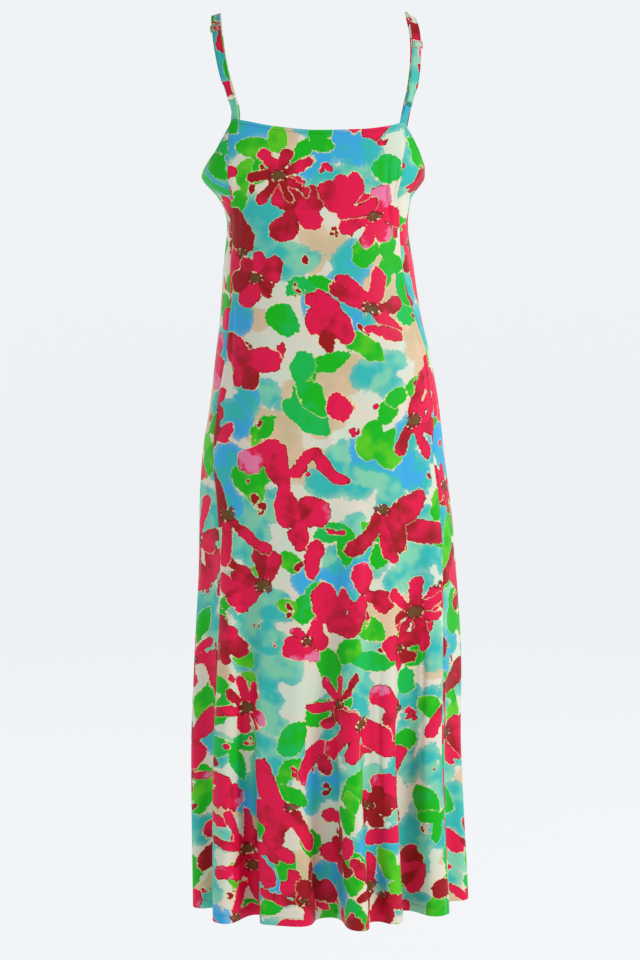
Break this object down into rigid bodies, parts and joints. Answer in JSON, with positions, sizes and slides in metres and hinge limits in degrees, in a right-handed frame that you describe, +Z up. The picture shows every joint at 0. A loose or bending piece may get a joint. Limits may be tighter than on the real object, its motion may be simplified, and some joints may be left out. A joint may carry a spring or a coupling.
{
  "type": "sundress",
  "caption": "Long sleeveless sundress in printed jersey with adjustable shoulder straps, a straight back neckline and a flared, softly folded skirt.",
  "frame": {"origin": "midway between the tops of the two straps, where the shoulders hold the dress", "axes": "+Z up, the back of the dress faces -Y and its front +Y"},
  "size_m": [0.4154, 0.289, 1.3154],
  "materials": {
    "printed_jersey": "smooth knitted jersey with an all-over print of pink flowers, green leaves and washes of blue on cream",
    "metal": "thin polished wire rings and sliders, pale rose gold"
  },
  "bodies": {
    "root": {"back_panel_bodice": "printed_jersey", "back_panel_hip": "printed_jersey", "back_panel_skirt": "printed_jersey", "back_panel_hem": "printed_jersey", "front_panel_bodice": "printed_jersey", "front_panel_hip": "printed_jersey", "front_panel_skirt": "printed_jersey", "front_panel_hem": "printed_jersey", "left_strap": "printed_jersey", "left_tab": "printed_jersey", "left_ring": "metal", "left_slider": "metal", "right_strap": "printed_jersey", "right_tab": "printed_jersey", "right_ring": "metal", "right_slider": "metal"}
  },
  "joints": []
}
